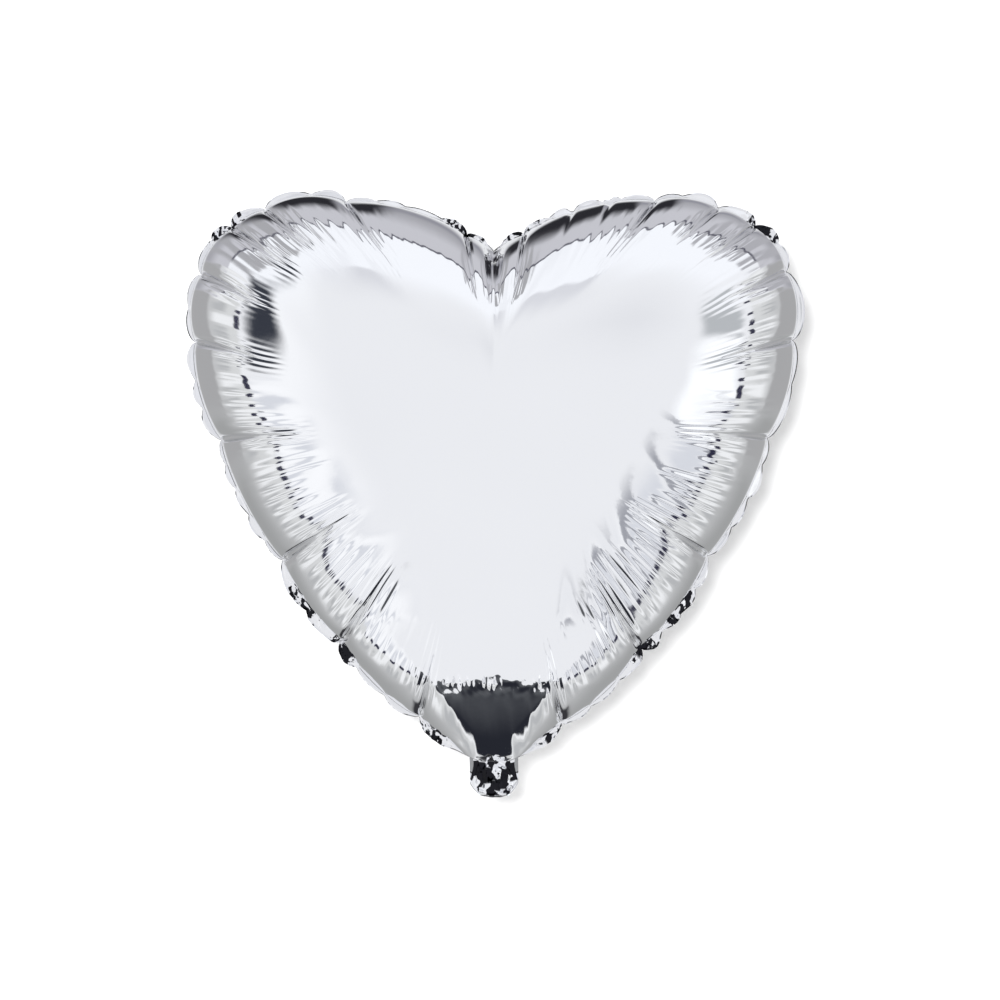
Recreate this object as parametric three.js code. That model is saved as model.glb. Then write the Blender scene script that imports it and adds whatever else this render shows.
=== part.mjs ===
// Heart-shaped foil balloon, inflated, with its filling neck folded up behind it.
// Millimetres, +Z up, +X to the right, front facing -Y.
// The origin is the tying point: the middle of the neck where the heart's tip runs into it.
import * as THREE from 'three';
import { ParametricGeometry } from 'three/addons/geometries/ParametricGeometry.js';
import { mergeVertices } from 'three/addons/utils/BufferGeometryUtils.js';

// Driving dimensions, inflated
const heartWidth = 370;        // across both lobes, over the welded edge
const heartHeight = 343;       // heart tip to the tops of the lobes
const bodyDepth = 178;         // depth that the swelling levels off towards; the fullest place is 6 less
const rampSlope = 0.4;         // how steeply the dome rises from the tip along its centre line
const tipBluntness = 11;       // extra depth gained close to the tip
const tipReach = 22;           // distance from the tip over which it is gained
const lobeSpacing = 208;       // between the tops of the two lobes
const cleftDepth = 29;         // lobe tops down to the bottom of the cleft
const widestHeight = 266;      // height of the widest place above the tip
const filmThickness = 0.4;     // thickness of each foil film's solid
const sealWidth = 7;           // width of the welded edge
const sealThickness = 0.4;     // thickness of the weld between the two films
const puckers = 12;            // gathers along each half of the edge
const puckerDepth = 2.2;       // how far the edge moves in and out at a gather
const neckWidth = 29;          // flat width of the neck and tail
const neckLength = 17.3;       // tying point down to the fold
const tailLength = 45;         // fold to the mouth of the tail
const tailLean = 26;           // degrees the folded tail leans back from upright
const tailCornerRadius = 4;    // rounded corners of the mouth
const valveWidth = 19;         // width of the self-closing valve
const valveReach = 62;         // how far the valve runs up inside the heart
const valveFilm = 0.17;        // thickness of each valve film's solid
const valveSetBack = 12;       // mouth of the tail to the valve's own mouth
const flapRise = 4;            // weld's inner edge up to where the valve's free film lifts

// Clearances
const layerGap = 0.05;         // between films lying on one another
const sideGap = 0.5;           // between the valve and the side welds
const runGap = 0.3;            // between pieces that end against each other
const foldClearance = 0.35;    // neck and tail to the fold line between them

// Sampling
const sidePoints = 60;         // points along each half of the edge

// Distances that follow from the sizes
const filmFace = sealThickness / 2 + layerGap;         // inner face of a film at the weld
const filmBack = filmFace + filmThickness;             // outer face of a film at the weld
const domeHeight = bodyDepth / 2 - filmBack;
const centreHeight = heartHeight * 0.6;                // the heart's middle, inside the outline
const neckHalf = neckWidth / 2;
const throat = sealWidth + 1;                          // height of the weld's inner edge at the neck
const flapHinge = throat + flapRise;
const channelHalf = valveWidth / 2 + sideGap;          // inner edge of the neck's side welds
const valveInner = layerGap / 2;
const valveOuter = valveInner + valveFilm;

const foil = new THREE.MeshStandardMaterial({ color: 0xc6c9cf, roughness: 0.12, metalness: 1.0 });
const weldedFoil = new THREE.MeshStandardMaterial({ color: 0xb4b7bd, roughness: 0.2, metalness: 1.0 });
const clearFilm = new THREE.MeshStandardMaterial({ color: 0xdfe3e6, roughness: 0.35, metalness: 0.0 });

// Right half of the smooth heart outline, from the cleft over the lobe to the tip
function rightOutline() {
  const half = heartWidth / 2;
  const lobeX = lobeSpacing / 2;
  const cleftZ = heartHeight - cleftDepth;
  const path = new THREE.CurvePath();
  path.add(new THREE.CubicBezierCurve(
    new THREE.Vector2(0, cleftZ),
    new THREE.Vector2(lobeX * 0.19, cleftZ + cleftDepth * 0.48),
    new THREE.Vector2(lobeX * 0.67, heartHeight),
    new THREE.Vector2(lobeX, heartHeight)));
  path.add(new THREE.CubicBezierCurve(
    new THREE.Vector2(lobeX, heartHeight),
    new THREE.Vector2(lobeX + (half - lobeX) * 0.57, heartHeight),
    new THREE.Vector2(half, widestHeight + (heartHeight - widestHeight) * 0.65),
    new THREE.Vector2(half, widestHeight)));
  path.add(new THREE.CubicBezierCurve(
    new THREE.Vector2(half, widestHeight),
    new THREE.Vector2(half, widestHeight * 0.66),
    new THREE.Vector2(half * 0.42, widestHeight * 0.06),
    new THREE.Vector2(0, 0)));
  return path.getSpacedPoints(sidePoints);
}

// Closed outline as points with the way out of the heart and the place along the edge
function heartEdge() {
  const right = rightOutline();
  const left = right.slice(1, -1).reverse().map((p) => new THREE.Vector2(-p.x, p.y));
  const points = [...right, ...left];
  return points.map((point, index) => {
    const before = points[(index + points.length - 1) % points.length];
    const after = points[(index + 1) % points.length];
    const along = after.clone().sub(before).normalize();
    const step = Math.min(index, points.length - index) / sidePoints;
    return { point, outward: new THREE.Vector2(-along.y, along.x), step };
  });
}

// How far the edge is drawn in (below zero) or stands out (above zero) at a place along it
function pucker(step) {
  const wave = Math.abs(Math.sin(Math.PI * puckers * step));
  return puckerDepth * (Math.sqrt(wave) - 1) * (step > 0.97 ? 0 : 1);
}

// The three lines every panel is built on: outer edge, inner edge of the weld, smooth inner line.
// The neck hangs from the tip: the outer edge runs down its sides and across its end.
function panelColumns() {
  const columns = [];
  for (const { point, outward, step } of heartEdge()) {
    const shift = pucker(step);
    const outer = point.clone().addScaledVector(outward, shift);
    const inner = point.clone().addScaledVector(outward, shift - sealWidth);
    const smooth = point.clone().addScaledVector(outward, -sealWidth);
    for (const line of [inner, smooth]) {
      line.y = Math.max(line.y, throat);
    }
    if (Math.abs(outer.x) < neckHalf && outer.y < centreHeight) {
      outer.y = -neckLength;
    }
    columns.push({ outer, inner, smooth });
  }
  return addNeckCorners(columns);
}

// Puts the neck's two top and two bottom corners into the row of columns
function addNeckCorners(columns) {
  const result = [];
  columns.forEach((column, index) => {
    const next = columns[(index + 1) % columns.length];
    result.push(column);
    const entersNeck = column.outer.y > -neckLength && next.outer.y === -neckLength;
    const leavesNeck = column.outer.y === -neckLength && next.outer.y > -neckLength;
    if (entersNeck || leavesNeck) {
      const side = Math.sign(column.outer.x + next.outer.x);
      const heartSide = entersNeck ? column : next;
      const topOfNeck = heartSide.outer.y * 0.75;
      const topCorner = { ...heartSide, outer: new THREE.Vector2(side * neckHalf, topOfNeck) };
      const endCorner = { ...heartSide, outer: new THREE.Vector2(side * neckHalf, -neckLength) };
      result.push(...(entersNeck ? [topCorner, endCorner] : [endCorner, topCorner]));
    }
  });
  return result;
}

// Depth of the dome on its centre line at a height above the tip: a blunt start, then a straight
// ramp that levels off at the full depth.
function centreLineRise(height) {
  const above = Math.max(height, 0);
  const ramp = rampSlope * above + tipBluntness * (1 - Math.exp(-above / tipReach));
  return (ramp ** -8 + domeHeight ** -8) ** (-1 / 8);
}

// Roundness of the dome from the middle (share 0) out to the weld (share 1)
function crossRise(share, roundness, steepness) {
  return (1 - Math.min(share, 1) ** roundness) ** steepness;
}

// Depth of the dome at a share of the way out from the middle, in a direction.
// The sides rise steeply from the weld, and the whole dome falls away towards the tip.
function domeRise(share, direction, height) {
  const fromCleft = Math.acos(THREE.MathUtils.clamp(direction.y, -1, 1));
  const cleft = Math.exp(-((fromCleft / 0.35) ** 2));
  const downShare = THREE.MathUtils.clamp(1 - height / centreHeight, 0, 0.995);
  const alongCentre = centreLineRise(height) / crossRise(downShare, 3, 0.5);
  return alongCentre * crossRise(share, 3 + 0.3 * cleft, 0.5 + 0.06 * cleft);
}

// A closed body from a geometry: shared points joined, empty triangles left out, faces out
function closedBody(geometry) {
  geometry.deleteAttribute('normal');
  geometry.deleteAttribute('uv');
  const merged = mergeVertices(geometry, 1e-4);
  const position = merged.getAttribute('position');
  const index = merged.getIndex();
  const kept = [];
  let volume = 0;
  for (let i = 0; i < index.count; i += 3) {
    const [a, b, c] = [index.getX(i), index.getX(i + 1), index.getX(i + 2)];
    if (a === b || b === c || c === a) {
      continue;
    }
    kept.push([a, b, c]);
    const [pa, pb, pc] = [a, b, c].map((k) => new THREE.Vector3().fromBufferAttribute(position, k));
    volume += pa.dot(pb.cross(pc));
  }
  merged.setIndex(kept.flatMap(([a, b, c]) => (volume > 0 ? [a, b, c] : [a, c, b])));
  merged.computeVertexNormals();
  return merged;
}

// One dished foil panel with its flat welded edge and its half of the neck; side is -1 in front
function panelGeometry(side) {
  const columns = panelColumns();
  const centre = new THREE.Vector2(0, centreHeight);
  const shares = [0, 0.22, 0.44, 0.64, 0.8, 0.91, 0.975];
  const facePoint = (column, row, inset) => {
    if (row === shares.length + 1) {
      return new THREE.Vector3(column.outer.x, side * (filmBack - inset), column.outer.y);
    }
    const share = row === shares.length ? 1 : shares[row];
    const line = column.smooth.clone().lerp(column.inner, share ** 6);
    const ray = line.clone().sub(centre);
    const direction = ray.clone().normalize();
    const flat = centre.clone().addScaledVector(direction, Math.max(0, ray.length() * share - inset));
    const upright = centreHeight + ray.y * share;
    const height = filmBack + domeRise(share, direction, upright) - inset;
    return new THREE.Vector3(share ? flat.x : 0, side * height, share ? flat.y : centreHeight);
  };
  const rows = shares.length + 2;
  const surface = (u, v, target) => {
    const column = columns[Math.round(u * columns.length) % columns.length];
    const place = Math.round(v * (2 * rows - 1));
    const outside = place < rows;
    const row = outside ? place : 2 * rows - 1 - place;
    target.copy(facePoint(column, row, outside ? 0 : filmThickness));
  };
  return closedBody(new ParametricGeometry(surface, columns.length, 2 * rows - 1));
}

// A flat outline in the X-Z plane given thickness, from y = low to y = high
function flatSheet(shape, low, high) {
  const settings = { depth: high - low, bevelEnabled: false, curveSegments: 6 };
  const geometry = new THREE.ExtrudeGeometry(shape, settings);
  geometry.rotateX(Math.PI / 2);
  geometry.translate(0, high, 0);
  return closedBody(geometry);
}

function rectangle(left, right, bottom, top) {
  const shape = new THREE.Shape();
  shape.moveTo(left, bottom);
  shape.lineTo(right, bottom);
  shape.lineTo(right, top);
  shape.lineTo(left, top);
  shape.closePath();
  return shape;
}

// The weld that joins the two panels all round, open between the neck's two side welds
function edgeSealGeometry() {
  const columns = panelColumns();
  const tip = columns.findIndex((column) => column.outer.x < 1e-6 && column.outer.y < 0);
  const round = [...columns.slice(tip + 1), ...columns.slice(0, tip)];
  const onNeckSide = (p) => p.y > -neckLength || Math.abs(p.x) === neckHalf;
  const besideChannel = (p) => p.y > centreHeight || Math.abs(p.x) > channelHalf + 0.5;
  const outer = round.map((column) => column.outer).filter(onNeckSide);
  const inner = round.map((column) => column.inner).filter(besideChannel);
  const shape = new THREE.Shape();
  shape.setFromPoints([
    ...outer,
    new THREE.Vector2(channelHalf, -neckLength),
    new THREE.Vector2(channelHalf, throat),
    ...inner.reverse(),
    new THREE.Vector2(-channelHalf, throat),
    new THREE.Vector2(-channelHalf, -neckLength),
  ]);
  return flatSheet(shape, -sealThickness / 2, sealThickness / 2);
}

// Tail strip standing up from the fold line, with rounded corners at its mouth
function tailOutline(left, right, top, radius) {
  const shape = new THREE.Shape();
  shape.moveTo(left, foldClearance);
  shape.lineTo(right, foldClearance);
  shape.lineTo(right, top - radius.right);
  if (radius.right) {
    shape.absarc(right - radius.right, top - radius.right, radius.right, 0, Math.PI / 2, false);
  }
  shape.lineTo(left + radius.left, top);
  if (radius.left) {
    shape.absarc(left + radius.left, top - radius.left, radius.left, Math.PI / 2, Math.PI, false);
  }
  shape.closePath();
  return shape;
}

function addPiece(parent, name, geometry, material) {
  const mesh = new THREE.Mesh(geometry, material);
  mesh.name = name;
  parent.add(mesh);
  return mesh;
}

const balloon = new THREE.Group();

// Heart: two panels and the weld between them
addPiece(balloon, 'front_panel', panelGeometry(-1), foil);
addPiece(balloon, 'rear_panel', panelGeometry(1), foil);
addPiece(balloon, 'edge_seal', edgeSealGeometry(), weldedFoil);

// Self-closing valve: two thin films lying flat through the neck and up inside the heart
const valveHalf = valveWidth / 2;
const wholeValve = rectangle(-valveHalf, valveHalf, -neckLength, valveReach);
addPiece(balloon, 'valve_front_film', flatSheet(wholeValve, -valveOuter, -valveInner), clearFilm);
const fixedValve = rectangle(-valveHalf, valveHalf, -neckLength, flapHinge - runGap);
addPiece(balloon, 'valve_rear_film', flatSheet(fixedValve, valveInner, valveOuter), clearFilm);
const freeValve = rectangle(-valveHalf, valveHalf, flapHinge, valveReach);
addPiece(balloon, 'valve_flap', flatSheet(freeValve, valveInner, valveOuter), clearFilm);

// Tail: the neck's end beyond the fold, standing up behind the neck and leaning back
const tail = new THREE.Group();
tail.position.set(0, filmBack + foldClearance, -neckLength - foldClearance);
tail.rotation.x = -THREE.MathUtils.degToRad(tailLean);
balloon.add(tail);

// Layers from the neck outwards: rear film, valve and side welds, front film
const tailStart = foldClearance;
const tailWeldLow = tailStart + filmThickness + layerGap;
const tailWeldHigh = tailWeldLow + sealThickness;
const tailFarFilm = tailWeldHigh + layerGap;
const valveMiddle = (tailWeldLow + tailWeldHigh) / 2;
const corner = Math.min(tailCornerRadius, neckHalf - channelHalf);
const fullStrip = tailOutline(-neckHalf, neckHalf, tailLength, { left: corner, right: corner });
addPiece(tail, 'tail_rear_film', flatSheet(fullStrip, tailStart, tailStart + filmThickness), foil);
addPiece(tail, 'tail_front_film', flatSheet(fullStrip, tailFarFilm, tailFarFilm + filmThickness), foil);
const leftStrip = tailOutline(-neckHalf, -channelHalf, tailLength, { left: corner, right: 0 });
addPiece(tail, 'tail_seal_left', flatSheet(leftStrip, tailWeldLow, tailWeldHigh), weldedFoil);
const rightStrip = tailOutline(channelHalf, neckHalf, tailLength, { left: 0, right: corner });
addPiece(tail, 'tail_seal_right', flatSheet(rightStrip, tailWeldLow, tailWeldHigh), weldedFoil);
const valveStrip = rectangle(-valveHalf, valveHalf, foldClearance, tailLength - valveSetBack);
addPiece(tail, 'tail_valve_rear_film',
  flatSheet(valveStrip, valveMiddle - valveOuter, valveMiddle - valveInner), clearFilm);
addPiece(tail, 'tail_valve_front_film',
  flatSheet(valveStrip, valveMiddle + valveInner, valveMiddle + valveOuter), clearFilm);

export default balloon;
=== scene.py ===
"""Heart-shaped foil balloon, blown up, with its filling tail folded up behind the tip."""
import math
import bpy
import numpy as np
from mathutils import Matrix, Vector


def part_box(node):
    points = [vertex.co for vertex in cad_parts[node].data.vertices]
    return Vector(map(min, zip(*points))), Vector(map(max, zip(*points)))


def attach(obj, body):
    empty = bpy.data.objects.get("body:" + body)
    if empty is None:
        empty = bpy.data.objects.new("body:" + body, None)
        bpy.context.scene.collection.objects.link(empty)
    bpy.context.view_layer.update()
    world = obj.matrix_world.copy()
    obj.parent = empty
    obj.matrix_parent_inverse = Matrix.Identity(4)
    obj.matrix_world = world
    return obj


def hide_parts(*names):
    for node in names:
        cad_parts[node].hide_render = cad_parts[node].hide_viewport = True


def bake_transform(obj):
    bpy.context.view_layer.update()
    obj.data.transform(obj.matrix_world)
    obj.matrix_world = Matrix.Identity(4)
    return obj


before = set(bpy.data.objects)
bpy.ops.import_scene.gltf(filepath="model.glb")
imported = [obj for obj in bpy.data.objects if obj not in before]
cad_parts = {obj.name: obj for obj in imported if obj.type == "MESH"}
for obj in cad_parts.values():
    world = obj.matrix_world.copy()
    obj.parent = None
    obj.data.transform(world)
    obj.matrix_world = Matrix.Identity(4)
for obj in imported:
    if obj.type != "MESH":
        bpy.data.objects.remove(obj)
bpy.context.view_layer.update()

# ---------------------------------------------------------------- camera
SENSOR = 36             # mm
DISTANCE = 3.0          # m from the heart's middle plane
VIEW_WIDTH = 0.595      # m across the frame at that plane

scene = bpy.context.scene
camera_data = bpy.data.cameras.new("camera")
camera = bpy.data.objects.new("camera", camera_data)
scene.collection.objects.link(camera)
camera.location = (0.0036, -DISTANCE, 0.1583)
camera.rotation_euler = (math.radians(90), 0, 0)
camera_data.sensor_width = SENSOR
camera_data.lens = SENSOR * DISTANCE / VIEW_WIDTH
camera_data.clip_end = 50
scene.camera = camera

# ---------------------------------------------------------------- shapes
MM = 0.001
panel_corner = np.array(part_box("front_panel")[0]) / MM

# Sizes in millimetres; only the dome's depth is read from the front panel's box
HALF_WIDTH = 185.0
HEART_TOP = 343.0
LOBE_X = 104.0
CLEFT_Z = 314.0
WIDEST_Z = 266.0
MIDDLE_Z = 205.8
HALF_GAP = 0.65         # from each film to the middle plane, where they meet at the weld
DOME = -panel_corner[1] - HALF_GAP
WELD_INSET = 8.2        # edge of the weld, inside the outline at a gather
BULGE = 4.4             # how far the film swells out between two gathers
NECK_HALF = 14.5
TAIL_LENGTH = 45.0
TAIL_LEAN = math.radians(26)
FOLD_Y, FOLD_Z = 1.0, -17.65    # the line that the tail turns about
TUBE_INSET = 4.5        # outer side of the tubes above the neck, inside the outline
KINK = 50.0             # height where the ramp up from the tip turns less steep
WRINKLE = 8.0           # from one fine wrinkle to the next
# Stretches of the welded edge that are crumpled, where its material also paints black reflections on
# the facets: middle and half size, as shares from the cleft
CRUMPLED = [(0.03, 0.03), (0.30, 0.025), (0.735, 0.03), (0.80, 0.02), (0.93, 0.02)]
COLUMNS = 1152          # points round the edge

# Gathers along each half of the edge, as shares from the cleft to the tip, unevenly spaced
RIGHT_GATHERS = [0.030, 0.175, 0.245, 0.292, 0.356, 0.433, 0.541, 0.680, 0.800, 0.915]
LEFT_GATHERS = [0.027, 0.161, 0.251, 0.294, 0.359, 0.435, 0.543, 0.685, 0.790, 0.905]
NOTCHES = [0.086, 0.128]


def bezier(a, b, c, d, count):
    """Points on a curve from a to d that leaves a towards b and reaches d from c."""
    t = np.linspace(0, 1, count)[:, None]
    a, b, c, d = (np.array(p, float) for p in (a, b, c, d))
    return a * (1 - t) ** 3 + 3 * b * t * (1 - t) ** 2 + 3 * c * t * t * (1 - t) + d * t ** 3


def whole_outline():
    """The smooth heart, clockwise from the cleft, with the distance run along it."""
    dip = HEART_TOP - CLEFT_Z
    rest = HALF_WIDTH - LOBE_X
    top = HEART_TOP - WIDEST_Z
    right = np.vstack([
        bezier((0, CLEFT_Z), (LOBE_X * 0.19, CLEFT_Z + dip * 0.48),
               (LOBE_X * 0.67, HEART_TOP), (LOBE_X, HEART_TOP), 200)[:-1],
        bezier((LOBE_X, HEART_TOP), (LOBE_X + rest * 0.57, HEART_TOP),
               (HALF_WIDTH, WIDEST_Z + top * 0.65), (HALF_WIDTH, WIDEST_Z), 200)[:-1],
        bezier((HALF_WIDTH, WIDEST_Z), (HALF_WIDTH, WIDEST_Z * 0.66),
               (HALF_WIDTH * 0.42, WIDEST_Z * 0.06), (0, 0), 400),
    ])
    whole = np.vstack([right, right[-2::-1] * [-1, 1]])
    run = np.concatenate([[0], np.cumsum(np.linalg.norm(np.diff(whole, axis=0), axis=1))])
    return whole, run


def heart_outline(shares):
    """Points at the given shares of the edge, with their outward normals."""
    whole, run = whole_outline()
    length = run[-1]

    def at(share):
        return np.stack([np.interp((share % 1) * length, run, whole[:, k]) for k in range(2)], 1)
    along = at(shares + 0.0015) - at(shares - 0.0015)
    along /= np.linalg.norm(along, axis=1)[:, None]
    outward = np.stack([-along[:, 1], along[:, 0]], 1)
    return at(shares), outward


def column_shares(places, length):
    """Where the mesh's columns start on the edge: closer together at each gather."""
    fine = np.linspace(0, 1, 8001)
    offset = (fine[:, None] - places[None] + 0.5) % 1 - 0.5
    near = np.abs(offset).min(1) * length
    crowd = 1 + 2.2 * np.exp(-(near / 4.0) ** 2)
    total = np.concatenate([[0], np.cumsum((crowd[1:] + crowd[:-1]) / 2)])
    return np.interp(np.arange(COLUMNS) / COLUMNS * total[-1], total, fine)


def gather_places():
    """The gathers, then the small notches, as shares of the whole edge, clockwise from the cleft."""
    right = [share / 2 for share in RIGHT_GATHERS]
    left = [1 - share / 2 for share in LEFT_GATHERS]
    return np.array(sorted([0.0] + right + left)), np.array(NOTCHES) / 2


def between(shares, places):
    """For each share of the edge: 0 to 1 across its gap, the gap's size and its number."""
    ends = np.append(places, places[0] + 1)
    index = np.clip(np.searchsorted(ends, shares, side="right") - 1, 0, len(places) - 1)
    gap = ends[index + 1] - ends[index]
    return (shares - ends[index]) / gap, gap, index


def to_nearest(shares, places, length):
    """Signed distance in mm along the edge to the nearest place, and which one."""
    offset = (shares[:, None] - places[None] + 0.5) % 1 - 0.5
    nearest = np.abs(offset).argmin(1)
    return offset[np.arange(len(shares)), nearest] * length, nearest


def smooth_noise(values, seed, scale, octaves=3):
    """Gentle one-way noise made of sine waves, the same every run."""
    draw = np.random.default_rng(seed)
    total = np.zeros_like(values)
    for octave in range(octaves):
        for _ in range(3):
            wave = scale / (1.7 ** octave) * draw.uniform(0.75, 1.3)
            total += np.sin(2 * np.pi * values / wave + draw.uniform(0, 6.28)) / (1.6 ** octave)
    return total / 3.2


def step(low_edge, high_edge, values):
    """Smooth rise from 0 at the low edge to 1 at the high edge."""
    t = np.clip((values - low_edge) / (high_edge - low_edge), 0, 1)
    return t * t * (3 - 2 * t)


def centre_line_rise(height):
    """Depth of the dome on its centre line: steep at the tip, a ramp with a kink, then level."""
    above = np.maximum(height, 0.01)
    foot = 0.56 * np.minimum(above, KINK) + 4.9 * (1 - np.exp(-above / 14))
    ramp = foot + 0.365 * np.maximum(above - KINK, 0)
    return (ramp ** -8.0 + DOME ** -8.0) ** (-1 / 8)


def wedge_half(height):
    """Half the width of the flat wedge between the two tubes above the neck."""
    return np.maximum(6.0 + 0.1 * height, 0.82 * height - 5.0)


def ruffle(x, y, seed, scale):
    """Crumpled film: ridged waves crossing one another, 0 on average."""
    draw = np.random.default_rng(seed)
    total = np.zeros_like(x)
    for k in range(7):
        angle = draw.uniform(0, np.pi)
        wave = scale * draw.uniform(0.6, 1.5)
        across = (x * np.cos(angle) + y * np.sin(angle)) / wave + draw.uniform(0, 1)
        total += 1 - 4 * np.abs((across % 1) - 0.5)
    return total / 4


def per_wrinkle(count, seed, least, most):
    """One value for each wrinkle, looked up by its number."""
    return np.random.default_rng(seed).uniform(least, most, count)


def film_surface(side, seed):
    """Rings of points of one panel's skin, from the weld to the middle."""
    whole, run = whole_outline()
    length = run[-1]
    places, notches = gather_places()
    shares = column_shares(places, length)
    outline, outward = heart_outline(shares)
    edge = shares * length
    phase, gap, _ = between(shares, places)
    swell = np.sqrt(np.clip(4 * phase * (1 - phase), 0, 1)) ** 0.8
    swell = swell * np.clip(gap * length / 45, 0.55, 1.1)
    # the notches nick the weld alone; the film behind them runs on smoothly
    rim_swell = swell * (1 - 0.40 * np.exp(-(to_nearest(shares, notches, length)[0] / 2.2) ** 2))
    # at the neck the skin runs straight on into the tail
    neck = (1 - step(11, 30, np.abs(outline[:, 0]))) * (outline[:, 1] < 60)
    inset = WELD_INSET * (1 - neck) + 0.5 * neck
    weld = outline + outward * (-inset + BULGE * rim_swell * (1 - neck))[:, None]
    smooth = outline - outward * (inset - BULGE * 0.75 * (1 - neck))[:, None]
    middle = np.array([0.0, MIDDLE_Z])
    near, which = to_nearest(shares, places, length)
    draw = np.random.default_rng(seed)
    strength = draw.uniform(0.75, 1.2, len(places))[which]
    first_half = np.arange(len(whole)) < len(whole) // 2 + 1
    right_side = whole[(whole[:, 0] >= 0) & (whole[:, 1] < 200) & first_half]
    right_side = right_side[np.argsort(right_side[:, 1])]

    half = np.where(shares < 0.5, shares * 2, 2 - shares * 2)
    right_hand = shares < 0.5
    # fine wrinkles run in from the edge; each has its own depth and its own length
    bent = edge + 2.4 * smooth_noise(edge, seed + 1, 70, 3)
    number = np.floor(bent / WRINKLE).astype(int)
    count = number.max() - number.min() + 2
    number -= number.min()
    depth = per_wrinkle(count, seed + 21, 0.45, 1.15)[number]
    reach_in = per_wrinkle(count, seed + 22, 40, 62)[number]
    begin = per_wrinkle(count, seed + 23, 2, 9)[number]
    ridge = np.abs(np.sin(np.pi * bent / WRINKLE)) ** 0.8 - 0.66
    second = np.abs(np.sin(np.pi * (bent / (WRINKLE * 0.53) + 0.3))) - 0.64
    low_side = step(0.43, 0.56, half) * (1 - step(0.87, 0.93, half))
    lobe_top = step(0.09, 0.14, half) * (1 - step(0.24, 0.33, half))
    region = 0.12 + np.where(right_hand, 0.95, 0.80) * low_side + 0.42 * lobe_top
    region += np.where(right_hand, 0.30 * np.exp(-((half - 0.31) / 0.05) ** 2),
                       0.42 * np.exp(-((half - 0.215) / 0.045) ** 2))
    region += np.where(right_hand, 0.34, 0.0) * np.exp(-((half - 0.39) / 0.05) ** 2)
    region *= 0.85 + 0.4 * smooth_noise(edge, seed + 2, 120, 2)
    region = np.clip(region, 0.04, 1.2)

    rows = []
    spans = [(1.0, 0.62, 62, 1), (0.62, 0.34, 16, 2), (0.34, 0.12, 10, 4), (0.12, 0.03, 5, 8)]
    for first, last, rings_here, thin in spans:
        u = np.linspace(0, 1, rings_here, endpoint=False)
        u = u ** 1.35 if first == 1.0 else u
        for share in first + (last - first) * u:
            rows.append((share, thin))
    rings = []
    for share, thin in rows:
        pick = slice(None, None, thin)
        line = smooth[pick] + (weld[pick] - smooth[pick]) * share ** 10
        ray = line - middle
        reach = np.linalg.norm(ray, axis=1)
        inward = reach * (1 - share)              # mm in from the weld
        direction = ray / reach[:, None]
        flat = middle + ray * share
        from_cleft = np.arccos(np.clip(direction[:, 1], -1, 1))
        cleft = np.exp(-(from_cleft / 0.35) ** 2)
        power = 3.0 + 0.3 * cleft
        root = 0.5 + 0.06 * cleft
        down = np.clip(1 - flat[:, 1] / MIDDLE_Z, 0, 0.995)
        line_rise = centre_line_rise(flat[:, 1])
        rise = line_rise / (1 - down ** 3) ** 0.5 * np.clip(1 - share ** power, 0, 1) ** root
        # low down: a flat wedge between two tubes that run down the sides to the neck
        wide = np.interp(flat[:, 1], right_side[:, 1], right_side[:, 0])
        wide = wide - TUBE_INSET * (1 - neck[pick])
        wide = np.maximum(wide, 13.0)
        wedge = np.minimum(wedge_half(flat[:, 1]), wide - 12)
        q = np.clip((np.abs(flat[:, 0]) - wedge) / (wide - wedge), 0, 1)
        tubes = line_rise * np.clip(1 - q ** 1.2, 0, 1) ** 0.5
        tubes *= np.clip(1 - share ** 36, 0, 1) ** 0.5
        low_down = 1 - step(46, 92, flat[:, 1])
        rise = rise * (1 - low_down) + tubes * low_down
        base = np.stack([flat[:, 0], -rise, flat[:, 1]], 1)
        rings.append((base, inward, share, thin))

    # unit normals of the plain dome, ring by ring, to move points in and out along
    result = []
    for index, (base, inward, share, thin) in enumerate(rings):
        pick = slice(None, None, thin)
        inner = rings[min(index + 1, len(rings) - 1)]
        outer = rings[max(index - 1, 0)]

        def match(ring):
            """The ring's points, thinned out or repeated to pair up with this ring's."""
            if ring[3] == thin:
                return ring[0]
            if ring[3] < thin:
                return ring[0][::thin // ring[3]]
            return np.repeat(ring[0], ring[3] // thin, axis=0)
        down = match(inner) - match(outer)
        across = np.roll(base, -1, 0) - np.roll(base, 1, 0)
        normal = np.cross(across, down)
        normal /= np.linalg.norm(normal, axis=1)[:, None] + 1e-9
        if normal[:, 1].mean() > 0:
            normal = -normal
        if index == 0:
            facing = np.full(len(base), -0.3)
            normal = np.column_stack([outward[pick][:, 0], facing, outward[pick][:, 1]])
            normal /= np.linalg.norm(normal, axis=1)[:, None]
        e = edge[pick]
        n = near[pick]
        st = strength[pick]
        away = 1 - neck[pick]
        # puffed out between the gathers
        puff = 1.7 * (swell[pick] - 0.72) * step(0, 3, inward)
        puff = puff * (1 - step(16, 48, inward)) * away
        # the crease at each gather: sharp at the edge, opening and fading inwards
        crease_width = 0.8 + inward * 0.06
        at_cleft = np.abs((e + length / 2) % length - length / 2)
        crease_end = 26 + 20 * (np.abs(at_cleft - 19) < 11)
        crease = -2.6 * st * np.exp(-np.abs(n) / crease_width) * step(0, 1.5, inward)
        crease *= 1 - np.clip((inward - 5) / (crease_end - 5), 0, 1) ** 1.5
        # the cleft's own crease runs further in
        cleft_crease = np.exp(-at_cleft / (0.8 + inward * 0.05)) * step(0, 3, inward)
        crease -= cleft_crease * (1 - step(14, 44, inward))
        # long fine folds beside each gather
        drift = n + smooth_noise(inward + 50 * which[pick], seed + 5, 40, 1) * 1.2
        spread = 5.5 + 0.10 * inward
        folds = 0.50 * st * (np.abs(np.sin(np.pi * drift / 4.6)) - 0.64)
        folds = folds * np.exp(-(n / spread) ** 2)
        folds *= step(5, 14, inward) * (1 - step(30, 64, inward)) * away
        folds *= 1 - 0.88 * np.exp(-(at_cleft / 30) ** 4)
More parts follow.
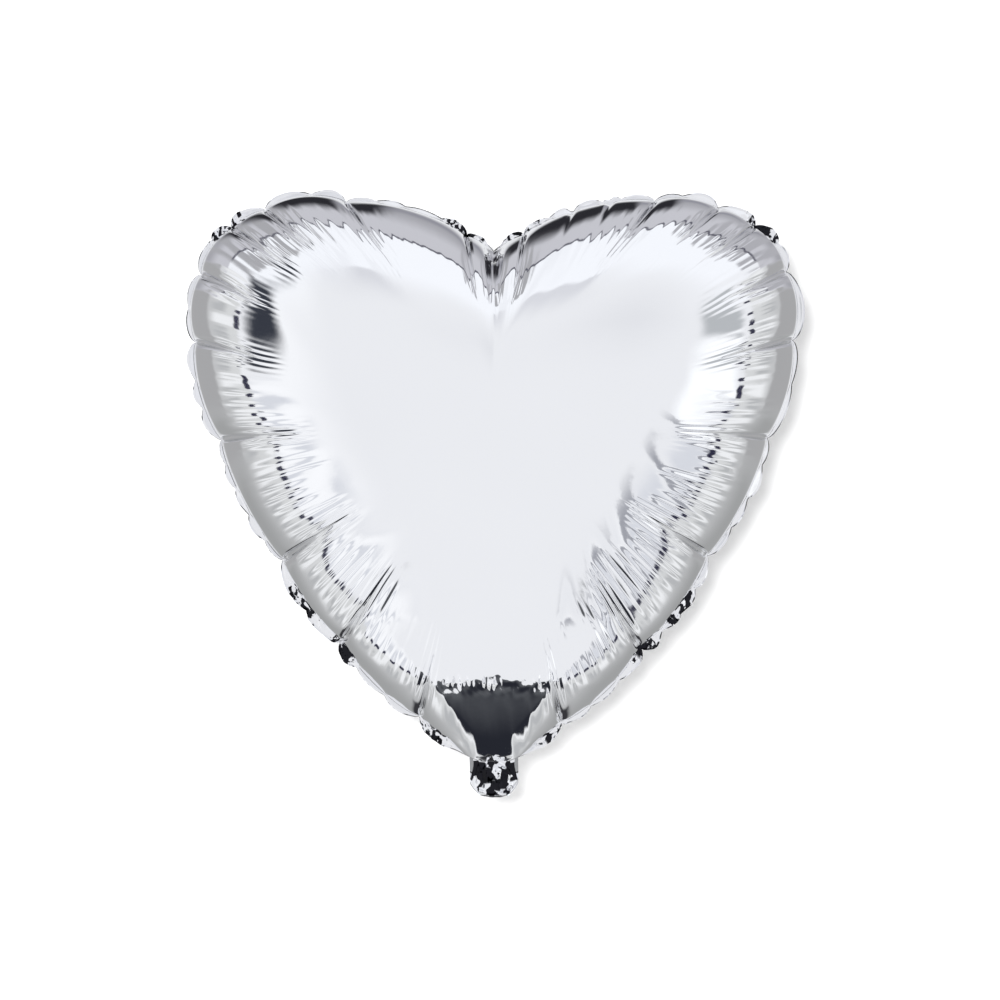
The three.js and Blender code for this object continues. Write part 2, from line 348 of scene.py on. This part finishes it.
        # the band of fine wrinkles
        band = step(0, 14, inward - begin[pick]) * (1 - step(-20, 0, inward - reach_in[pick]))
        wrinkle = 0.62 * region[pick] * depth[pick] * band * (ridge[pick] + 0.35 * second[pick])
        # slow unevenness of the whole skin
        slow = 0.45 * smooth_noise(e + inward * 0.6, seed + 9, 75, 2) * step(2, 14, inward)
        slow *= (1 - step(50, 90, inward)) * away
        # crumpled where the ramp meets the wedge
        wedge_edge = np.exp(-((base[:, 2] - KINK - 1) / 5.5) ** 2)
        wedge_edge = wedge_edge * (1 - step(30, 40, np.abs(base[:, 0])))
        crumple = 0.80 * wedge_edge * ruffle(base[:, 0], base[:, 2], seed + 31, 9)
        crumple += 0.30 * wedge_edge * ruffle(base[:, 0], base[:, 2], seed + 33, 4.5)
        crumple += 0.85 * wedge_edge * ruffle(base[:, 0], base[:, 2], seed + 34, 17)
        # the middle of the wedge reaches a little higher than its sides
        crumple += 0.9 * np.exp(-(base[:, 0] / 17) ** 2 - ((base[:, 2] - KINK - 5) / 5.5) ** 2)
        # fine pleats that run up the wedge from the neck
        pleats = 0.34 * ruffle(base[:, 0], base[:, 2] * 0.15, seed + 32, 11)
        pleats = pleats * (1 - step(35, 50, base[:, 2])) * step(0, 6, inward)
        pleats = pleats * (1 - step(16, 30, np.abs(base[:, 0])))
        move = puff + crease + folds + wrinkle + slow + crumple + pleats
        point = base + normal * move[:, None]
        point[:, 1] -= HALF_GAP
        if side > 0:
            point[:, 1] *= -1
        result.append(point)
    pole = np.array([[0.0, side * (centre_line_rise(MIDDLE_Z) + HALF_GAP), MIDDLE_Z]])
    return result, pole, weld, outward, edge, length, neck


def skin_mesh(name, rings, pole, side):
    """A mesh of quads between rings, with triangles where the points thin out."""
    vertices = np.vstack(rings + [pole])
    starts = np.cumsum([0] + [len(r) for r in rings])
    faces = []
    for k in range(len(rings) - 1):
        a, b = starts[k], starts[k + 1]
        m, n = len(rings[k]), len(rings[k + 1])
        if m == n:
            for j in range(m):
                faces.append((a + j, a + (j + 1) % m, b + (j + 1) % m, b + j))
        else:
            for j in range(n):
                p, q, r = a + 2 * j, a + 2 * j + 1, a + (2 * j + 2) % m
                s, t = b + j, b + (j + 1) % n
                faces += [(p, q, s), (q, t, s), (q, r, t)]
    last, m = starts[-2], len(rings[-1])
    tip = starts[-1]
    faces += [(last + j, last + (j + 1) % m, tip) for j in range(m)]
    if side > 0:
        faces = [tuple(reversed(f)) for f in faces]
    return new_mesh(name, vertices, faces)


def new_mesh(name, vertices, faces):
    """A smooth-shaded object from points in millimetres."""
    mesh = bpy.data.meshes.new(name)
    metres = (np.asarray(vertices) * MM).tolist()
    mesh.from_pydata(metres, [], [tuple(int(i) for i in f) for f in faces])
    mesh.validate()
    mesh.shade_smooth()
    thing = bpy.data.objects.new(name, mesh)
    bpy.context.scene.collection.objects.link(thing)
    return thing


def strip_mesh(name, grid, closed):
    """A mesh from a grid of points, closed round its second way where asked."""
    rows, columns, _ = grid.shape
    faces = []
    for i in range(rows - 1):
        for j in range(columns if closed else columns - 1):
            k = (j + 1) % columns
            here, after = i * columns, (i + 1) * columns
            faces.append((here + j, here + k, after + k, after + j))
    return new_mesh(name, grid.reshape(-1, 3), faces)


def flange(weld, outward, edge, length, neck):
    """The thin welded edge, gathered into scallops that lean to the front or to the back."""
    places, _ = gather_places()
    draw = np.random.default_rng(31)
    folds = []
    ends = np.append(places, places[0] + 1)
    for a, b in zip(ends[:-1], ends[1:]):
        parts = max(1, int(round((b - a) * length / draw.uniform(17, 30))))
        cuts = np.linspace(a, b, parts + 1)[:-1]
        cuts[1:] += draw.uniform(-0.25, 0.25, parts - 1) * (b - a) / parts
        folds += list(cuts)
    folds = np.array(sorted(folds))
    shares = edge / length
    phase, gap, index = between(shares, folds)
    lean = (draw.choice([-1.0, 1.0], len(folds)) * draw.uniform(0.4, 1.0, len(folds)))[index]
    depth = draw.uniform(0.35, 1.0, len(folds))[index]
    skew = draw.uniform(0.75, 1.4, len(folds))[index]
    arch = np.sin(np.pi * phase ** skew) ** 0.75
    half = np.where(shares < 0.5, shares * 2, 2 - shares * 2)
    crumpled = np.zeros_like(shares)
    for centre, wide in CRUMPLED:
        crumpled = np.maximum(crumpled, np.exp(-((half - centre) / wide) ** 4))
    width = 1.3 + 3.6 * arch * depth + 1.6 * crumpled
    width *= 1 - 0.9 * neck
    at_cleft = np.abs((edge + length / 2) % length - length / 2)
    width *= 1 - 0.5 * np.exp(-(at_cleft / 36) ** 2)
    rows = 9
    grid = []
    for k in range(rows):
        out = k / (rows - 1)
        flat = weld + outward * (width * out - 0.3)[:, None]
        sway = lean * 2.9 * arch * depth * out ** 1.2
        sway += 0.9 * np.where(lean < 0, 1, -1) * step(0.72, 1.0, np.full_like(width, out))
        facets = ruffle(edge, np.full_like(edge, out * 6.0), 77, 5.5)
        sway += crumpled * facets * 1.6 * step(0.0, 0.5, np.full_like(width, out))
        jag = crumpled * 0.5 * ruffle(edge, np.full_like(edge, out * 5), 78, 6) * out
        flat += outward * jag[:, None]
        grid.append(np.stack([flat[:, 0], sway * (1 - neck), flat[:, 1]], 1))
    # the crumpled share is handed on as well, to set where the weld's material paints black
    # reflections
    return np.array(grid), np.tile(crumpled, rows)


# ---------------------------------------------------------------- materials
def node(tree, kind, **settings):
    """A new node in the tree, with its settings."""
    made = tree.nodes.new(kind)
    for key, value in settings.items():
        setattr(made, key, value)
    return made


def film_skin_group():
    """Shared finish of thin film: a fine grain, a soft dullness that drifts, and small dents."""
    group = bpy.data.node_groups.new("film_skin", "ShaderNodeTree")
    side = group.interface
    for label, kind, value in (
            ("Bright", "NodeSocketColor", (0.93, 0.935, 0.95, 1)),
            ("Dim", "NodeSocketColor", (0.88, 0.885, 0.90, 1)),
            ("Smooth", "NodeSocketFloat", 0.05),
            ("Dull", "NodeSocketFloat", 0.10),
            ("Grain Scale", "NodeSocketFloat", 90.0),
            ("Dent Scale", "NodeSocketFloat", 35.0)):
        side.new_socket(label, in_out="INPUT", socket_type=kind).default_value = value
    side.new_socket("Color", in_out="OUTPUT", socket_type="NodeSocketColor")
    side.new_socket("Roughness", in_out="OUTPUT", socket_type="NodeSocketFloat")
    side.new_socket("Height", in_out="OUTPUT", socket_type="NodeSocketFloat")
    given = node(group, "NodeGroupInput")
    result = node(group, "NodeGroupOutput")
    place = node(group, "ShaderNodeTexCoord")
    grain = node(group, "ShaderNodeTexNoise")
    grain.inputs["Detail"].default_value = 4
    drift = node(group, "ShaderNodeTexNoise")
    drift.inputs["Scale"].default_value = 9
    drift.inputs["Detail"].default_value = 2
    dents = node(group, "ShaderNodeTexVoronoi", feature="SMOOTH_F1")
    tint = node(group, "ShaderNodeMix", data_type="RGBA")
    dull = node(group, "ShaderNodeMapRange")
    total = node(group, "ShaderNodeMath", operation="MULTIPLY_ADD")
    total.inputs[1].default_value = 0.25
    for texture in (grain, drift, dents):
        group.links.new(place.outputs["Object"], texture.inputs["Vector"])
    group.links.new(given.outputs["Grain Scale"], grain.inputs["Scale"])
    group.links.new(given.outputs["Dent Scale"], dents.inputs["Scale"])
    group.links.new(drift.outputs["Fac"], tint.inputs["Factor"])
    group.links.new(given.outputs["Bright"], tint.inputs[6])
    group.links.new(given.outputs["Dim"], tint.inputs[7])
    group.links.new(drift.outputs["Fac"], dull.inputs["Value"])
    dull.inputs["From Min"].default_value = 0.3
    dull.inputs["From Max"].default_value = 0.7
    group.links.new(given.outputs["Smooth"], dull.inputs["To Min"])
    group.links.new(given.outputs["Dull"], dull.inputs["To Max"])
    group.links.new(dents.outputs["Distance"], total.inputs[0])
    group.links.new(grain.outputs["Fac"], total.inputs[2])
    group.links.new(tint.outputs[2], result.inputs["Color"])
    group.links.new(dull.outputs["Result"], result.inputs["Roughness"])
    group.links.new(total.outputs[0], result.inputs["Height"])
    return group


film_skin = film_skin_group()


def film_material(name, bright, dim, smooth, dull, bump_strength, metallic=1.0, dent=35.0):
    """A film's material: two tints and two roughnesses that drift, over fine dents."""
    material = bpy.data.materials.new(name)
    material.use_nodes = True
    tree = material.node_tree
    shader = tree.nodes["Principled BSDF"]
    shader.inputs["Metallic"].default_value = metallic
    skin = node(tree, "ShaderNodeGroup")
    skin.node_tree = film_skin
    skin.inputs["Bright"].default_value = (*bright, 1)
    skin.inputs["Dim"].default_value = (*dim, 1)
    skin.inputs["Smooth"].default_value = smooth
    skin.inputs["Dull"].default_value = dull
    skin.inputs["Grain Scale"].default_value = 90.0
    skin.inputs["Dent Scale"].default_value = dent
    bump = node(tree, "ShaderNodeBump")
    bump.inputs["Strength"].default_value = bump_strength
    bump.inputs["Distance"].default_value = 0.0004
    tree.links.new(skin.outputs["Height"], bump.inputs["Height"])
    tree.links.new(bump.outputs["Normal"], shader.inputs["Normal"])
    tree.links.new(skin.outputs["Color"], shader.inputs["Base Color"])
    tree.links.new(skin.outputs["Roughness"], shader.inputs["Roughness"])
    return material


foil = film_material("silver_foil", (0.94, 0.945, 0.96), (0.91, 0.915, 0.935),
                     0.045, 0.085, 0.10)
neck_foil = film_material("neck_foil", (0.93, 0.935, 0.95), (0.87, 0.875, 0.90),
                          0.06, 0.12, 0.4, dent=220.0)
weld_foil = film_material("welded_foil", (0.92, 0.92, 0.93), (0.84, 0.84, 0.86),
                          0.06, 0.14, 0.35, dent=160.0)
clear_film = film_material("clear_film", (0.86, 0.89, 0.92), (0.78, 0.82, 0.86),
                           0.18, 0.30, 0.3, metallic=0.0, dent=260.0)
clear_film.node_tree.nodes["Principled BSDF"].inputs["Alpha"].default_value = 0.55


def paint_crumple_reflections(material, cells):
    """Paints black reflections where the edge is crumpled: its small facets turn from silver to black
    and back.
    """
    tree = material.node_tree
    shader = tree.nodes["Principled BSDF"]
    plain = shader.inputs["Base Color"].links[0].from_socket
    where = node(tree, "ShaderNodeAttribute", attribute_name="crumple")
    place = node(tree, "ShaderNodeTexCoord")
    stretch = node(tree, "ShaderNodeMapping")
    stretch.inputs["Rotation"].default_value = (0.0, 0.6, 0.0)
    stretch.inputs["Scale"].default_value = (1.0, 1.0, 0.45)
    warp = node(tree, "ShaderNodeTexNoise")
    warp.inputs["Scale"].default_value = 110
    warp.inputs["Detail"].default_value = 3
    shift = node(tree, "ShaderNodeVectorMath", operation="MULTIPLY_ADD")
    shift.inputs[1].default_value = (0.008, 0.008, 0.008)
    facets = node(tree, "ShaderNodeTexVoronoi")
    facets.inputs["Scale"].default_value = cells
    tree.links.new(place.outputs["Object"], stretch.inputs["Vector"])
    tree.links.new(place.outputs["Object"], warp.inputs["Vector"])
    tree.links.new(warp.outputs["Color"], shift.inputs[0])
    tree.links.new(stretch.outputs["Vector"], shift.inputs[2])
    tree.links.new(shift.outputs["Vector"], facets.inputs["Vector"])
    split = node(tree, "ShaderNodeSeparateColor")
    tree.links.new(facets.outputs["Color"], split.inputs["Color"])
    # which facets get the painted black reflection: the crumple attribute plus each cell's random red,
    # over a narrow threshold
    pick = node(tree, "ShaderNodeMath", operation="ADD")
    tree.links.new(where.outputs["Fac"], pick.inputs[0])
    tree.links.new(split.outputs["Red"], pick.inputs[1])
    mask = node(tree, "ShaderNodeMapRange")
    mask.inputs["From Min"].default_value = 1.43
    mask.inputs["From Max"].default_value = 1.47
    tree.links.new(pick.outputs[0], mask.inputs["Value"])
    mix = node(tree, "ShaderNodeMix", data_type="RGBA")
    tree.links.new(mask.outputs["Result"], mix.inputs["Factor"])
    tree.links.new(plain, mix.inputs[6])
    # the painted black reflection, laid on the picked facets in place of the silver
    mix.inputs[7].default_value = (0.018, 0.018, 0.022, 1)
    tree.links.new(mix.outputs[2], shader.inputs["Base Color"])


# painted black reflections on the crumpled facets of the weld and of the neck
paint_crumple_reflections(weld_foil, 380)
paint_crumple_reflections(neck_foil, 240)

for name in ("valve_front_film", "valve_rear_film", "valve_flap",
             "tail_valve_rear_film", "tail_valve_front_film"):
    inner_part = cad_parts[name]
    inner_part.data.materials.clear()
    inner_part.data.materials.append(clear_film)

for side, name, cad, seed in ((-1, "front_film", "front_panel", 4),
                              (1, "rear_film", "rear_panel", 12)):
    rings, pole, weld, outward, edge, length, neck = film_surface(side, seed)
    thing = skin_mesh(name, rings, pole, side)
    thing.data.materials.append(foil)
    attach(thing, "balloon")
    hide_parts(cad)

rim_points, rim_crumple = flange(weld, outward, edge, length, neck)
rim = strip_mesh("welded_edge", rim_points, True)
# the crumple attribute sets where the weld's material paints black reflections on its facets
rim.data.attributes.new("crumple", "FLOAT", "POINT").data.foreach_set("value", rim_crumple)
rim.data.materials.append(weld_foil)
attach(rim, "balloon")
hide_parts("edge_seal")


def neck_path(layer, v, puff, steps):
    """One line of film down the neck, round the fold and up the tail, in the Y-Z plane.
    layer is 0 for the film inside the fold and 1 for the film outside it."""
    hinge = np.array([FOLD_Y, FOLD_Z])
    along = np.array([math.sin(TAIL_LEAN), math.cos(TAIL_LEAN)])
    away = np.array([math.cos(TAIL_LEAN), -math.sin(TAIL_LEAN)])
    round_off = 9.0 * abs(v) ** 3.4
    front = 0.75 - layer * (1.65 + 6.6 * puff)
    base = -16.6 - layer * (2.3 - 0.3) + round_off
    far = 0.3 + layer * (1.45 + 1.5 * puff)
    top = (front * 0.30, front * 0.34) if layer > 0.5 else (front, front)
    mid = (front * 0.92, front * 0.62) if layer > 0.5 else (front, front)
    points = [(top[0], 6.0), (top[1], 1.5), (mid[0], -3.0), (mid[1], -10.0 + round_off * 0.3),
              (front * 0.30 + 0.2, base + 1.4), (0.9, base),
              tuple(hinge + away * (far * 0.9) + along * (0.9 + round_off * 0.8)),
              tuple(hinge + away * far + along * (4.5 + round_off * 0.6))]
    points += [tuple(hinge + away * far + along * reach) for reach in (12, 20, 28, 36, TAIL_LENGTH)]
    points = np.array(points, float)
    spans = np.linspace(0, len(points) - 1, steps)
    padded = np.vstack([2 * points[0] - points[1], points, 2 * points[-1] - points[-2]])
    result = []
    for value in spans:
        k = min(int(value), len(points) - 2)
        t = value - k
        p0, p1, p2, p3 = padded[k:k + 4]
        result.append(0.5 * (2 * p1 + (p2 - p0) * t + (2 * p0 - 5 * p1 + 4 * p2 - p3) * t * t
                             + (3 * p1 - p0 - 3 * p2 + p3) * t ** 3))
    return np.array(result)


def neck_film(name, layer, v_low, v_high, columns, steps, seed, crumple):
    """One strip of the neck and tail; v runs from -1 to 1 across the neck's width."""
    grid = np.zeros((steps, columns, 3))
    for j in range(columns):
        v = v_low + (v_high - v_low) * j / (columns - 1)
        puff = max(0.0, 1 - (abs(v) / 0.8) ** 2)
        path = neck_path(layer, v, puff, steps)
        share = np.linspace(0, 1, steps)
        half = NECK_HALF * (1 - 0.16 * np.exp(-((share - 0.08) / 0.14) ** 2))
        grid[:, j, 0] = v * half
        grid[:, j, 1:] = path
    # crumple across the film's own normal
    du = np.gradient(grid, axis=0)
    dv = np.gradient(grid, axis=1)
    normal = np.cross(du, dv)
    normal /= np.linalg.norm(normal, axis=2)[..., None] + 1e-9
    s = np.linspace(0, 75, steps)[:, None] + 0 * grid[..., 0]
    strength = np.exp(-((s - 14) / 13) ** 2) + 0.15
    move = crumple * ruffle(grid[..., 0] * 1.3, s * 0.8, seed, 9) * strength
    move *= np.clip(1.15 - np.abs(grid[..., 0]) / NECK_HALF, 0.1, 1)
    grid += normal * move[..., None]
    thing = strip_mesh(name, grid, False)
    # share of painted black reflections on the neck film, strongest round the fold and below its top
    # few mm; stored as the crumple attribute, none on the film inside the fold and half on the welds
    folded = 0.45 + 0.80 * (s > 4) + 0.15 * np.abs(grid[..., 0]) / NECK_HALF
    folded = np.exp(-((s - 14) / 16) ** 2) * folded
    values = (folded * layer).ravel()
    thing.data.attributes.new("crumple", "FLOAT", "POINT").data.foreach_set("value", values)
    thing.data.materials.append(weld_foil if "weld" in name else neck_foil)
    return thing


for name, layer, left, right, columns, cad, seed, crumple in (
        ("tail_outer_film", 1.0, -1, 1, 41, "tail_front_film", 3, 1.0),
        ("tail_inner_film", 0.0, -1, 1, 41, "tail_rear_film", 8, 0.05),
        ("tail_left_weld", 0.5, -1, -0.72, 6, "tail_seal_left", 9, 0.02),
        ("tail_right_weld", 0.5, 0.72, 1, 6, "tail_seal_right", 10, 0.02)):
    strip = neck_film(name, layer, left, right, columns, 130, seed, crumple)
    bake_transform(strip)
    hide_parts(cad)

# ---------------------------------------------------------------- studio
def world_studio():
    """Plain white for the eye and for fill light; reflections see light and dark areas,
    each laid over the ones before it."""
    world = bpy.data.worlds.new("studio")
    world.use_nodes = True
    scene.world = world
    tree = world.node_tree
    tree.nodes.clear()
    out = node(tree, "ShaderNodeOutputWorld")
    coord = node(tree, "ShaderNodeTexCoord")
    way = coord.outputs["Generated"]

    def dot(vector):
        """How far the looked-at direction agrees with a vector: -1 to 1."""
        made = node(tree, "ShaderNodeVectorMath", operation="DOT_PRODUCT")
        tree.links.new(way, made.inputs[0])
        made.inputs[1].default_value = vector
        return made.outputs["Value"]

    def math_node(operation, a, b=None, clamp=False):
        made = node(tree, "ShaderNodeMath", operation=operation, use_clamp=clamp)
        for socket, value in ((0, a), (1, b)):
            if value is None:
                continue
            if isinstance(value, (int, float)):
                made.inputs[socket].default_value = value
            else:
                tree.links.new(value, made.inputs[socket])
        return made.outputs[0]

    def soft(value, low_edge, high_edge):
        """Smooth rise from 0 to 1 between two edges, or a fall where they are swapped."""
        made = node(tree, "ShaderNodeMapRange", interpolation_type="SMOOTHSTEP")
        tree.links.new(value, made.inputs["Value"])
        made.inputs["From Min"].default_value = low_edge
        made.inputs["From Max"].default_value = high_edge
        return made.outputs["Result"]

    def window(azimuth, elevation, half_wide, half_high, edge):
        """1 inside a rectangle of directions; azimuth 0 is towards the camera, + to its right."""
        a, e = math.radians(azimuth), math.radians(elevation)
        centre = Vector((math.sin(a) * math.cos(e), -math.cos(a) * math.cos(e), math.sin(e)))
        right = Vector((math.cos(a), math.sin(a), 0))
        up = right.cross(centre) * -1
        if up.z < 0:
            up = -up
        depth = dot(centre)
        safe = math_node("MAXIMUM", depth, 0.001)
        x = math_node("ABSOLUTE", math_node("DIVIDE", dot(right), safe))
        y = math_node("ABSOLUTE", math_node("DIVIDE", dot(up), safe))
        tx, ty = math.tan(math.radians(half_wide)), math.tan(math.radians(half_high))
        inside = math_node("MULTIPLY", soft(x, tx + edge, tx - edge), soft(y, ty + edge, ty - edge))
        return math_node("MULTIPLY", inside, soft(depth, 0.0, 0.02))

    def lay(below, colour, mask):
        """The colour over what is below, where the mask is 1."""
        made = node(tree, "ShaderNodeMix", data_type="RGBA")
        tree.links.new(mask, made.inputs["Factor"])
        if isinstance(below, tuple):
            made.inputs[6].default_value = (*below, 1)
        else:
            tree.links.new(below, made.inputs[6])
        made.inputs[7].default_value = (*colour, 1)
        return made.outputs[2]

    back = dot((0, 1, 0))
    up = dot((0, 0, 1))
    right = dot((1, 0, 0))
    # how far up or down a direction leans, whatever its angle to the camera: -1 down, 1 up
    spread = math_node("SQRT", math_node("SUBTRACT", 1.0001, math_node("MULTIPLY", back, back)))
    lean = math_node("DIVIDE", up, spread)
    turn = math_node("ARCTAN2", up, right)

    def times(*masks):
        """Where all the masks overlap."""
        result = masks[0]
        for mask in masks[1:]:
            result = math_node("MULTIPLY", result, mask)
        return result

    def stripes(per_turn, low_edge, high_edge):
        """Stripes that radiate round the line of sight, that many in a full turn."""
        wave = math_node("SINE", math_node("MULTIPLY", turn, float(per_turn)))
        return soft(wave, low_edge, high_edge)

    colour = (0.89, 0.90, 0.925)
    colour = lay(colour, (0.80, 0.81, 0.84), window(16, 14, 9, 8, 0.25))
    colour = lay(colour, (0.99, 1.0, 1.02), window(-50, -6, 16, 40, 0.25))
    # a bright strip overhead with a dim edge
    leftish = times(soft(right, 0.06, -0.04), soft(right, -0.38, -0.15))
    colour = lay(colour, (0.99, 1.01, 1.05),
                 times(soft(lean, 0.30, 0.60), soft(back, -0.84, -0.50)))
    colour = lay(colour, (0.74, 0.75, 0.79),
                 times(leftish, soft(lean, 0.45, 0.65), soft(back, -0.92, -0.70)))
    colour = lay(colour, (0.99, 1.01, 1.05),
                 times(leftish, soft(lean, 0.40, 0.50), soft(back, -0.66, -0.61)))
    # soft strips low on both sides
    front_low = times(soft(back, -0.74, -0.56), soft(lean, -0.10, -0.35), soft(lean, -0.92, -0.80))
    colour = lay(colour, (0.72, 0.74, 0.79), times(front_low, stripes(27, -0.1, 0.9)))
    colour = lay(colour, (1.02, 1.03, 1.05), times(front_low, stripes(27, -0.3, -0.95)))
    # the side walls of the tent are a little darker than its front
    side = times(soft(back, -0.30, -0.22), soft(lean, 0.42, 0.30))
    colour = lay(colour, (0.72, 0.73, 0.73), side)
    colour = lay(colour, (0.55, 0.555, 0.56), times(side, soft(back, -0.25, 0.45)))
    colour = lay(colour, (0.92, 0.93, 0.94),
                 times(side, soft(back, 0.35, 0.10), stripes(23, 0.1, 0.9)))
    colour = lay(colour, (0.50, 0.51, 0.52),
                 times(side, soft(back, 0.35, 0.10), soft(back, -0.15, 0.0), stripes(23, -0.4, -0.95)))
    # bright and dim panels on the right
    colour = lay(colour, (1.12, 1.14, 1.16), window(54, -13, 14, 9, 0.08))
    colour = lay(colour, (0.50, 0.52, 0.54), window(54, 8, 12, 9, 0.06))
    colour = lay(colour, (0.36, 0.37, 0.41),
                 times(window(54, -36, 19, 16, 0.1), stripes(31, 0.45, 0.75)))
    # the back of the tent
    colour = lay(colour, (0.41, 0.41, 0.415),
                 times(soft(back, 0.29, 0.37), soft(lean, -0.45, -0.25)))
    colour = lay(colour, (0.37, 0.375, 0.375),
                 times(soft(back, 0.00, 0.68), soft(lean, -0.25, -0.45)))
    # above and behind: pale lavender grey, darker on the right and furthest back
    above = times(soft(lean, 0.34, 0.40), soft(back, 0.12, 0.15))
    colour = lay(colour, (0.60, 0.60, 0.64), above)
    colour = lay(colour, (0.40, 0.40, 0.43), times(soft(lean, 0.34, 0.40), soft(back, 0.45, 0.8)))
    corner = times(soft(right, -0.30, -0.38), soft(lean, 0.50, 0.56),
                   soft(back, -0.42, -0.36), soft(lean, 0.97, 0.92))
    colour = lay(colour, (0.42, 0.42, 0.44), times(corner, stripes(25, -0.9, 0.3)))
    corner = times(soft(right, 0.36, 0.42), soft(lean, 0.36, 0.42), soft(back, -0.25, -0.18))
    colour = lay(colour, (0.45, 0.45, 0.48), times(corner, stripes(25, -0.9, 0.3)))
    colour = lay(colour, (0.12, 0.12, 0.15),
                 times(soft(lean, 0.5, 0.6), soft(back, 0.085, 0.10), soft(back, 0.15, 0.135)))
    darker = times(soft(up, 0.34, 0.44), soft(back, 0.50, 0.72),
                   soft(right, 0.12, 0.02), soft(right, -0.50, -0.22))
    colour = lay(colour, (0.025, 0.025, 0.03), darker)
    colour = lay(colour, (0.30, 0.30, 0.34),
                 times(soft(up, 0.40, 0.50), soft(back, 0.76, 0.84), soft(right, 0.02, 0.12)))
    colour = lay(colour, (0.04, 0.04, 0.045),
                 times(soft(back, 0.30, 0.40), soft(lean, -0.88, -0.94), soft(up, -0.55, -0.65)))
    # straight behind it is bright again
    colour = lay(colour, (0.84, 0.85, 0.87), soft(back, 0.86, 0.96))
    # dark floor in front of and below the heart
    colour = lay(colour, (0.10, 0.105, 0.115), window(0, -71, 16, 22, 0.03))
    colour = lay(colour, (0.02, 0.022, 0.03),
                 times(window(0, -71, 16, 22, 0.03), soft(up, -0.80, -0.97)))
    # a dark card on the left
    colour = lay(colour, (0.04, 0.045, 0.06), window(-57, 13, 10, 18, 0.09))
    # thin dark gaps between the front lights and the side walls, broken into dashes
    gap = times(soft(back, -0.32, -0.30), soft(back, -0.22, -0.24),
                soft(lean, 0.30, 0.20), soft(lean, -0.92, -0.82), stripes(19, 0.0, 0.25))
    colour = lay(colour, (0.03, 0.03, 0.06), gap)
    seen = node(tree, "ShaderNodeBackground")
    tree.links.new(colour, seen.inputs["Color"])
    seen.inputs["Strength"].default_value = 1.0
    plain = node(tree, "ShaderNodeBackground")
    plain.inputs["Color"].default_value = (1, 1, 1, 1)
    path = node(tree, "ShaderNodeLightPath")
    # white where it is looked at, a little less as fill light, so that shadows show
    fill = node(tree, "ShaderNodeMapRange")
    fill.inputs["To Min"].default_value = 0.80
    fill.inputs["To Max"].default_value = 1.0
    tree.links.new(path.outputs["Is Camera Ray"], fill.inputs["Value"])
    tree.links.new(fill.outputs["Result"], plain.inputs["Strength"])
    mix = node(tree, "ShaderNodeMixShader")
    tree.links.new(path.outputs["Is Glossy Ray"], mix.inputs["Fac"])
    tree.links.new(plain.outputs[0], mix.inputs[1])
    tree.links.new(seen.outputs[0], mix.inputs[2])
    tree.links.new(mix.outputs[0], out.inputs["Surface"])


world_studio()


def paper_material(name, one_sided):
    """Matt white paper; one-sided paper is clear from behind."""
    paper = bpy.data.materials.new(name)
    paper.use_nodes = True
    tree = paper.node_tree
    shader = tree.nodes["Principled BSDF"]
    shader.inputs["Base Color"].default_value = (0.93, 0.93, 0.93, 1)
    shader.inputs["Roughness"].default_value = 0.9
    if one_sided:
        clear = node(tree, "ShaderNodeBsdfTransparent")
        facing = node(tree, "ShaderNodeNewGeometry")
        mix = node(tree, "ShaderNodeMixShader")
        tree.links.new(facing.outputs["Backfacing"], mix.inputs["Fac"])
        tree.links.new(shader.outputs[0], mix.inputs[1])
        tree.links.new(clear.outputs[0], mix.inputs[2])
        tree.links.new(mix.outputs[0], tree.nodes["Material Output"].inputs["Surface"])
    return paper


def studio_plane(name, size, location, rotation, material):
    """A sheet of backdrop that reflections don't see."""
    bpy.ops.object.select_all(action="DESELECT")
    bpy.ops.mesh.primitive_plane_add(size=size, location=location, rotation=rotation)
    plane = bpy.context.active_object
    plane.name = name
    plane.data.materials.append(material)
    plane.visible_glossy = False
    return plane


studio_plane("floor", 3.0, (0, 0, -0.33), (0, 0, 0), paper_material("floor_paper", False))
studio_plane("back_wall", 1.6, (0, 0.105, 0.16), (math.radians(90), 0, 0),
             paper_material("wall_paper", True))

key_data = bpy.data.lights.new("key", "AREA")
key_data.shape = "DISK"
key_data.size = 0.5
key_data.energy = 92
key = bpy.data.objects.new("key", key_data)
scene.collection.objects.link(key)
key.location = (-0.24, -3.0, 0.38)
key.rotation_euler = (Vector((0, 0, 0.16)) - key.location).to_track_quat("-Z", "Y").to_euler()
key.visible_glossy = False

scene.view_settings.view_transform = "Standard"
